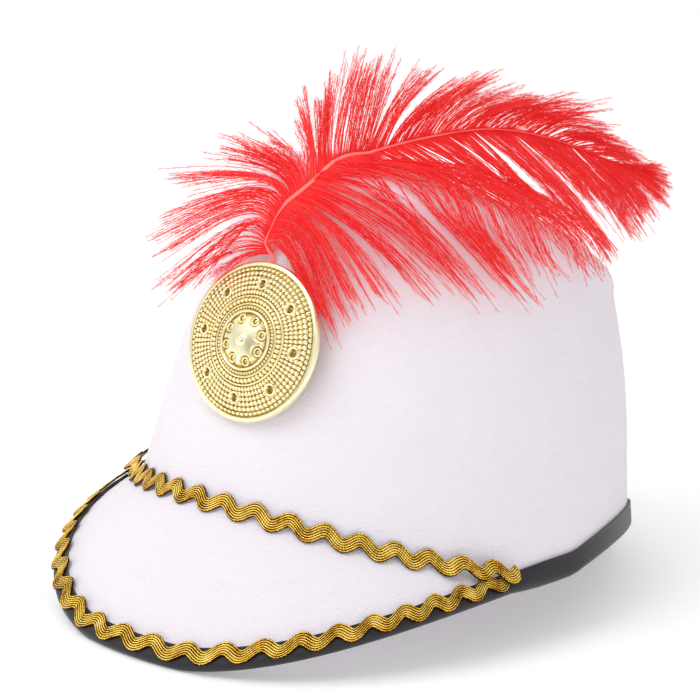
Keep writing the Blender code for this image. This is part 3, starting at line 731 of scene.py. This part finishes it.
def reliefHeight(radii, angles):
    stud = sectorPlace(radii, angles, studLook["count"], studLook["ring"], 0.5)
    height = rosetteHeight(radii, angles) + studHeight(stud)
    for ridge in ridges:
        height = height + ridge["height"] * dome(radii - ridge["place"], ridge["width"])
    for row in beadRows:
        beads = beadRow(radii, angles, row["place"], row["width"], row["beads"], row["phase"])
        height = height + row["height"] * beads
    clear = smoothStep(*studLook["clear"], stud)
    for row in range(field["rows"]):
        centre = field["start"] + row * field["step"]
        beads = beadRow(radii, angles, centre, field["width"], field["beads"])
        height = height + field["height"] * clear * beads ** field["round"]
    return height + border["height"] * smoothStep(border["start"], border["end"], radii)


def faceDepth(radii, raised):
    return medal["rimDepth"] + medal["domeRise"] * (1 - radii ** medal["domeFall"]) + raised * medal["relief"]


def buildMedallion():
    centre, outward, up, across = medallionFrame()
    angles = np.linspace(0, 2 * math.pi, medal["sectors"] + 1)
    radii = np.linspace(0.0, medal["faceReach"], medal["rings"])
    raised = reliefHeight(radii[None, :], angles[:, None])
    backShare = medal["backRadius"] / medal["radius"]
    hollowShare = (medal["backRadius"] - medal["wall"]) / medal["radius"]
    # the rounded rim and the back's edge, then the hollow behind the face
    back = [(1.0, medal["rimDepth"]), (1.0, medal["rimDepth"] * 0.7), (0.985, medal["rimDepth"] * 0.3),
            (backShare, 0.0), (hollowShare, 0.0)]
    for share in (hollowShare, 0.55, 0.25, 0.0):
        back.append((share, float(faceDepth(np.float64(share), -0.5)) - medal["wall"]))
    backShares, backDepths = zip(*back)
    shares = np.concatenate((radii, backShares))
    backRows = np.tile(backDepths, (len(angles), 1))
    depths = np.concatenate((faceDepth(radii[None, :], raised), backRows), axis=1)
    spokes = up * np.cos(angles)[:, None] + across * np.sin(angles)[:, None]
    points = centre + spokes[:, None, :] * (shares * medal["radius"])[None, :, None]
    bm = gridOver(points + outward * depths[:, :, None], (1, 1))
    # painted shade and highlight, stored per point: low relief is painted dark, high relief pale; the back
    # takes a fixed middle value
    shade = np.full(depths.shape, medal["backShade"])
    shade[:, :len(radii)] = np.clip(raised, 0, medal["brightest"]) / medal["brightest"]
    layer = bm.verts.layers.float.new("relief")
    for vert, value in zip(bm.verts, shade.T.ravel()):
        vert[layer] = float(value)
    closeUp(bm)
    return bm


medallionPiece = finishPiece("goldMedallion", buildMedallion(), medallionMaterial(), 50)
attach(medallionPiece, "root")
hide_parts("medallion")


# Plume: a shaft with barbs in locks, and fine barbules on each barb
# the shaft's way, as shares of the crown's half width, front reach and front height
plumeRoute = (
    {"left": -0.09, "along": -0.60, "up": 0.84}, {"left": -0.08, "along": -0.58, "up": 0.89},
    {"left": -0.04, "along": -0.56, "up": 0.94}, {"left": 0.01, "along": -0.55, "up": 0.97},
    {"left": 0.06, "along": -0.52, "up": 1.00}, {"left": 0.09, "along": -0.46, "up": 1.03},
    {"left": 0.10, "along": -0.36, "up": 1.04}, {"left": 0.11, "along": -0.19, "up": 1.05},
    {"left": 0.15, "along": 0.00, "up": 1.06}, {"left": 0.20, "along": 0.24, "up": 1.06},
    {"left": 0.24, "along": 0.53, "up": 1.02}, {"left": 0.28, "along": 0.82, "up": 0.95},
    {"left": 0.29, "along": 1.06, "up": 0.89},
)
plumeRoot = {"shares": (0.75, 0.3, -0.08), "left": -0.005, "bareTo": 2, "layFrom": 3}
# where the barbs from a place on the shaft end, in metres
nearTips = (
    {"place": 0.00, "left": 0.022, "along": -0.065, "up": 0.106},
    {"place": 0.05, "left": 0.028, "along": -0.062, "up": 0.106},
    {"place": 0.10, "left": 0.037, "along": -0.052, "up": 0.116},
    {"place": 0.15, "left": 0.051, "along": -0.037, "up": 0.118},
    {"place": 0.20, "left": 0.060, "along": -0.025, "up": 0.116},
    {"place": 0.30, "left": 0.066, "along": -0.009, "up": 0.117},
    {"place": 0.42, "left": 0.066, "along": 0.012, "up": 0.118},
    {"place": 0.55, "left": 0.059, "along": 0.037, "up": 0.118},
    {"place": 0.70, "left": 0.053, "along": 0.060, "up": 0.119},
    {"place": 0.85, "left": 0.047, "along": 0.084, "up": 0.120},
    {"place": 1.00, "left": 0.034, "along": 0.107, "up": 0.125},
)
farTips = (
    {"place": 0.00, "left": -0.027, "along": -0.075, "up": 0.100},
    {"place": 0.05, "left": -0.033, "along": -0.080, "up": 0.112},
    {"place": 0.10, "left": -0.039, "along": -0.073, "up": 0.137},
    {"place": 0.12, "left": -0.031, "along": -0.063, "up": 0.146},
    {"place": 0.15, "left": -0.016, "along": -0.042, "up": 0.162},
    {"place": 0.20, "left": -0.011, "along": -0.023, "up": 0.179},
    {"place": 0.26, "left": 0.000, "along": -0.008, "up": 0.180},
    {"place": 0.34, "left": 0.009, "along": 0.008, "up": 0.174},
    {"place": 0.45, "left": 0.019, "along": 0.031, "up": 0.168},
    {"place": 0.60, "left": 0.027, "along": 0.057, "up": 0.160},
    {"place": 0.80, "left": 0.030, "along": 0.092, "up": 0.142},
    {"place": 1.00, "left": 0.027, "along": 0.113, "up": 0.126},
)
plumeLook = {
    "quill": 0.0009, "quillStart": 0.8, "tip": 0.0003, "shaftLift": 0.0032, "shaftSteps": 240,
    "shaftStride": 3, "shaftTint": 0.9, "seed": 7,
    "barbs": 700, "barbPoints": 13, "barbRadius": 0.00017, "barbTaper": 0.5,
    "locks": 58, "lockMargin": 6, "gather": 0.5, "evenness": (0.5, 1.0), "size": 0.93, "sizeLimit": 1.16,
    "lockLength": 0.10, "barbLength": 0.09, "lockDrift": 0.0026, "barbDrift": 0.0015,
    "forward": 0.55, "leaving": 0.36, "bend": 0.66, "arch": 0.10, "lift": (0.0010, 0.0075), "liftGrowth": 2.5,
    "clear": 0.0006, "strayShare": 0.04, "strayLength": 1.2, "tint": (0.5, 0.2), "fanSteps": 400,
    "barbules": 42, "barbuleReach": (0.06, 0.99), "barbuleLength": (0.0020, 0.0058),
    "barbuleSpread": (0.15, 0.55), "barbuleRadius": 0.000055, "barbuleGrowth": 0.75, "barbuleFall": 0.5,
    "barbuleBelly": 0.3, "barbuleClear": 0.0004,
    "ringGuide": (0.31, 0.52, 0.79),
}


def feltSurface():
    bm = gridOver(feltOutside, (1, 1))
    closeUp(bm)
    surface = BVHTree.FromBMesh(bm)
    bm.free()
    return surface


feltTree = feltSurface()


def laidOn(point, offset):
    # moves a point out to an offset over the felt where it would lie deeper
    nearest, normal = feltTree.find_nearest(Vector(point))[:2]
    depth = (Vector(point) - nearest).dot(normal)
    if depth >= offset:
        return point
    return np.array(nearest + normal * offset)


def shaftLine():
    quillOffset = trim["gap"] + plumeLook["quill"]
    rimWay = frontLine(medal["centreHeight"]) + medal["radius"]
    route = []
    for share in plumeRoot["shares"]:
        place = [rimWay - share * medal["radius"]]
        point = lineAt(0.0, place)[0] + feltNormals(0.0, place)[0] * quillOffset
        route.append(point + np.array((plumeRoot["left"], 0.0, 0.0)))
    for row in plumeRoute:
        route.append(np.array((row["left"] * crown["baseHalfWidth"], row["along"] * crown["baseFront"],
                               row["up"] * crown["frontHeight"])))
    route = np.array(route)
    run = runOf(route)
    dense = np.linspace(0, run[-1], plumeLook["shaftSteps"] + 1)
    line = np.stack([curveThrough(run, route[:, k], dense) for k in range(3)], -1)
    lifts = np.where(dense > run[plumeRoot["layFrom"]], plumeLook["shaftLift"], quillOffset)
    line = np.array([laidOn(point, lift) for point, lift in zip(line, lifts)])
    return line, run[plumeRoot["bareTo"]] / run[-1]


shaft, bareShare = shaftLine()


def shaftFrame(share):
    # point and forward direction at a share of the shaft's length
    place = share * (len(shaft) - 1)
    stride = plumeLook["shaftStride"]
    index = int(np.clip(round(place), stride, len(shaft) - 1 - stride))
    origin = readAlong(place, np.arange(len(shaft)), shaft)
    return origin, unit(shaft[index + stride] - shaft[index - stride])


def shaftAt(place):
    # the same for a place on the part that has barbs
    return shaftFrame(min(bareShare + (1 - bareShare) * place, 1.0))


def guidedEnds(tips, places):
    # ends of barbs, as offsets from the shaft
    stations = [row["place"] for row in tips]
    ends = [np.array((row["left"], row["along"], row["up"])) - shaftAt(row["place"])[0] for row in tips]
    return readAlong(places, stations, np.array(ends))


def barbPlaces(tips, count):
    # barbs stand closer where their ends fan out
    fine = np.linspace(0, 1, plumeLook["fanSteps"] + 1)
    roots = np.array([shaftAt(float(place))[0] for place in fine])
    total = runOf(roots + guidedEnds(tips, fine)) + runOf(roots)
    return np.interp(np.linspace(0, total[-1], count), total, fine)


def barbPaths(tips, rng):
    # every barb of one side: it leaves the shaft forwards, then bends to the end of its lock
    count, points = plumeLook["barbs"], plumeLook["barbPoints"]
    places = barbPlaces(tips, count)
    free = np.arange(plumeLook["lockMargin"], count - plumeLook["lockMargin"])
    edges = rng.choice(free, plumeLook["locks"] - 1, replace=False)
    edges = np.sort(np.concatenate(((0, count), edges)))
    reach = np.linspace(0, 1, points)[:, None]
    paths, stray = [], rng.uniform(0, 1, count) < plumeLook["strayShare"]
    for first, last in zip(edges[:-1], edges[1:]):
        middle = places[(first + last) // 2]
        lockPoint = shaftAt(float(middle))[0] + guidedEnds(tips, np.array([middle]))[0]
        lockSize = 1 + rng.normal(0, plumeLook["lockLength"])
        drift = rng.normal(0, plumeLook["lockDrift"], 3)
        for index in range(first, last):
            place = float(places[index])
            root, tangent = shaftAt(place)
            own = guidedEnds(tips, np.array([place]))[0]
            gather = 0.0 if stray[index] else plumeLook["gather"] * rng.uniform(*plumeLook["evenness"])
            end = (root + own) * (1 - gather) + lockPoint * gather - root
            size = lockSize * (1 + rng.normal(0, plumeLook["barbLength"]))
            size = size * (plumeLook["strayLength"] if stray[index] else 1)
            size = min(size, plumeLook["sizeLimit"]) * plumeLook["size"]
            end = end * size + drift + rng.normal(0, plumeLook["barbDrift"], 3)
            length = np.linalg.norm(end)
            away = unit(end - tangent * np.dot(end, tangent))
            leave = unit(tangent * plumeLook["forward"] + away * (1 - plumeLook["forward"] / 2))
            leave = leave * length * plumeLook["leaving"]
            bend = end * plumeLook["bend"] + np.array((0, 0, 1.0)) * plumeLook["arch"] * length
            path = root + 3 * (1 - reach) ** 2 * reach * leave + 3 * (1 - reach) * reach**2 * bend
            path = path + reach**3 * end
            lift = rng.uniform(*plumeLook["lift"])
            for step in range(1, points):
                grown = min(1.0, step / points * plumeLook["liftGrowth"])
                path[step] = laidOn(path[step], plumeLook["clear"] + lift * grown)
            paths.append(path)
    return np.array(paths)


def barbuleSpikes(paths, rng):
    # short threads that leave each barb forwards, all round it
    count = plumeLook["barbules"]
    steps = paths.shape[1] - 1
    reach = np.sort(rng.uniform(*plumeLook["barbuleReach"], (len(paths), count)), axis=1) * steps
    low = np.minimum(reach.astype(int), steps - 1)
    blend = (reach - low)[..., None]
    rows = np.arange(len(paths))[:, None]
    base = paths[rows, low] * (1 - blend) + paths[rows, low + 1] * blend
    heading = unit(paths[rows, low + 1] - paths[rows, low])
    sideways = rng.normal(0, 1, base.shape)
    sideways = unit(sideways - heading * np.sum(sideways * heading, axis=-1, keepdims=True))
    share = reach / steps
    grown = smoothStep(0.0, 0.5, share) * plumeLook["barbuleGrowth"] + 1 - plumeLook["barbuleGrowth"]
    length = rng.uniform(*plumeLook["barbuleLength"], share.shape) * grown
    length = length * (1 - plumeLook["barbuleFall"] * share**4)
    spread = rng.uniform(*plumeLook["barbuleSpread"], share.shape)[..., None]
    tip = base + unit(heading + sideways * spread) * length[..., None]
    base, tip = base.reshape(-1, 3), tip.reshape(-1, 3)
    tip = np.array([laidOn(point, plumeLook["barbuleClear"]) for point in tip])
    belly = base * (1 - plumeLook["barbuleBelly"]) + tip * plumeLook["barbuleBelly"]
    return np.stack((base, belly, tip), axis=1)


def threadSheet(paths, radii, tints):
    # closed three-sided threads from one sheet: four columns each, with the faces between threads cut out
    tangents = unit(np.gradient(paths, axis=1))
    first = unit(np.cross(tangents, plumeLook["ringGuide"]))
    second = np.cross(tangents, first)
    turns = (np.array((0.0, 2.0, 4.0, 0.0)) * math.pi / 3)[None, :, None, None]
    rings = first[:, None] * np.cos(turns) + second[:, None] * np.sin(turns)
    points = (paths[:, None] + rings * radii[:, None, :, None]).reshape(-1, paths.shape[1], 3)
    columns, rows = points.shape[0] - 1, points.shape[1] - 1
    bm = bmesh.new()
    bmesh.ops.create_grid(bm, x_segments=columns, y_segments=rows, size=0.5)
    gaps = [face for face in bm.faces if int((face.calc_center_median().x + 0.5) * columns) % 4 == 3]
    bmesh.ops.delete(bm, geom=gaps, context="FACES")
    layer = bm.verts.layers.float.new("tint")
    for vert in bm.verts:
        column = round((vert.co.x + 0.5) * columns)
        vert.co = points[column, round((vert.co.y + 0.5) * rows)]
        vert[layer] = tints[column // 4]
    closeUp(bm, 2e-7)
    return bm


def buildPlume(which):
    rng = np.random.default_rng(plumeLook["seed"] + (which == "near"))
    paths = barbPaths(nearTips if which == "near" else farTips, rng)
    taper = np.linspace(1, plumeLook["barbTaper"], paths.shape[1])
    tints = np.clip(rng.normal(*plumeLook["tint"], len(paths)), 0, 1)
    barbs = threadSheet(paths, np.tile(plumeLook["barbRadius"] * taper, (len(paths), 1)), tints)
    spikes = barbuleSpikes(paths, rng)
    fluffRadii = np.tile((0.0, plumeLook["barbuleRadius"], 0.0), (len(spikes), 1))
    fluff = threadSheet(spikes, fluffRadii, np.repeat(tints, plumeLook["barbules"]))
    return barbs, fluff


def buildShaft():
    line = shaft[None, ::plumeLook["shaftStride"]]
    radii = np.linspace(plumeLook["quill"] * plumeLook["quillStart"], plumeLook["tip"], line.shape[1])
    return threadSheet(line, radii[None], [plumeLook["shaftTint"]])


plumeRed = plumeMaterial("Red barbs", (0.80, 0.012, 0.016), (0.95, 0.035, 0.038), (1.0, 0.10, 0.095), 0.6)
shaftRed = plumeMaterial("Red shaft", (0.75, 0.03, 0.04), (0.93, 0.10, 0.10), (0.98, 0.25, 0.22), 0.4)
shaftPiece = finishPiece("plumeShaft", buildShaft(), shaftRed, 70)
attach(shaftPiece, "root")
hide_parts("plume")
for which in ("near", "far"):
    barbs, fluff = buildPlume(which)
    for label, mesh in (("Barbs", barbs), ("Barbules", fluff)):
        plumePiece = finishPiece(which + label, mesh, plumeRed, 180)
        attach(plumePiece, "root")
        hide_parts("plume")


# Floor, light and camera
studio = {
    "floorSize": 6.0, "floorGlow": 0.22, "floorGrain": 3.0, "worldStrength": 0.76, "skyScale": 2.2,
    "lightAim": 0.08,
    "keyPower": 6.2, "keySize": 0.9, "keyDistance": 1.3, "keyAzimuth": -20, "keyElevation": 52,
    "fillPower": 0.3, "fillSize": 1.2, "fillDistance": 1.6, "fillAzimuth": 75, "fillElevation": 25,
}
photoView = {
    "azimuth": 38.67, "elevation": 16.0, "roll": 3.0, "distance": 1.23166,
    "aimHeight": 0.080, "aimRight": -0.01366, "aimUp": -0.00226, "focalPixels": 3598.0,
    "imageWidth": 700.0, "sensor": 36.0, "clipStart": 0.05, "clipEnd": 50.0,
}


def makeFloor():
    bm = bmesh.new()
    bmesh.ops.create_grid(bm, x_segments=2, y_segments=2, size=studio["floorSize"])
    mesh = bpy.data.meshes.new("floor")
    bm.to_mesh(mesh)
    bm.free()
    material, tree, shader = newMaterial("Pale floor", roughness=0.8)
    grain = noiseNode(tree, objectPlace(tree), studio["floorGrain"])
    colour = ramp(tree, grain, [(0.3, (0.90, 0.90, 0.91)), (0.7, (0.93, 0.93, 0.935))])
    tree.links.new(colour, shader.inputs["Base Color"])
    shader.inputs["Emission Color"].default_value = (1.0, 1.0, 1.0, 1)
    shader.inputs["Emission Strength"].default_value = studio["floorGlow"]
    mesh.materials.append(material)
    floor = bpy.data.objects.new("floor", mesh)
    bpy.context.scene.collection.objects.link(floor)


def towards(azimuth, elevation):
    # direction from the hat to a viewer or a light, in radians from the hat's front
    return Vector((math.sin(azimuth) * math.cos(elevation), -math.cos(azimuth) * math.cos(elevation),
                   math.sin(elevation)))


def addLight(name):
    away = towards(math.radians(studio[name + "Azimuth"]), math.radians(studio[name + "Elevation"]))
    data = bpy.data.lights.new(name + "Light", "AREA")
    data.size = studio[name + "Size"]
    data.energy = studio[name + "Power"]
    light = bpy.data.objects.new(name + "Light", data)
    light.location = Vector((0, 0, studio["lightAim"])) + away * studio[name + "Distance"]
    light.rotation_mode = "QUATERNION"
    light.rotation_quaternion = (-away).to_track_quat("-Z", "Y")
    bpy.context.scene.collection.objects.link(light)


def makeCamera():
    azimuth, elevation, roll = (math.radians(photoView[key]) for key in ("azimuth", "elevation", "roll"))
    level = Vector((math.cos(azimuth), math.sin(azimuth), 0))
    back = towards(azimuth, elevation)
    upright = back.cross(level)
    right = level * math.cos(roll) + upright * math.sin(roll)
    up = upright * math.cos(roll) - level * math.sin(roll)
    aim = level * photoView["aimRight"] + upright * photoView["aimUp"]
    aim = aim + Vector((0, 0, photoView["aimHeight"]))
    data = bpy.data.cameras.new("photoCamera")
    data.sensor_width = photoView["sensor"]
    data.lens = photoView["focalPixels"] / photoView["imageWidth"] * photoView["sensor"]
    data.clip_start, data.clip_end = photoView["clipStart"], photoView["clipEnd"]
    camera = bpy.data.objects.new("photoCamera", data)
    turn = Matrix((right, up, back)).transposed()
    camera.matrix_world = Matrix.Translation(aim + back * photoView["distance"]) @ turn.to_4x4()
    bpy.context.scene.collection.objects.link(camera)
    bpy.context.scene.camera = camera


def makeWorld():
    # a bright sky with soft darker patches, which show in the metal
    world = bpy.data.worlds.new("softStudio")
    world.use_nodes = True
    tree = world.node_tree
    place = addNode(tree, "ShaderNodeTexCoord").outputs["Generated"]
    colour = ramp(tree, noiseNode(tree, place, studio["skyScale"], detail=1.0), [
        (0.30, (0.35, 0.35, 0.36)), (0.47, (1.0, 1.0, 1.0)), (0.60, (1.25, 1.25, 1.25))])
    tree.links.new(colour, tree.nodes["Background"].inputs["Color"])
    tree.nodes["Background"].inputs["Strength"].default_value = studio["worldStrength"]
    bpy.context.scene.world = world


makeFloor()
addLight("key")
addLight("fill")
makeWorld()
makeCamera()
bpy.context.scene.view_settings.view_transform = "Standard"
print("floor, light and camera set")
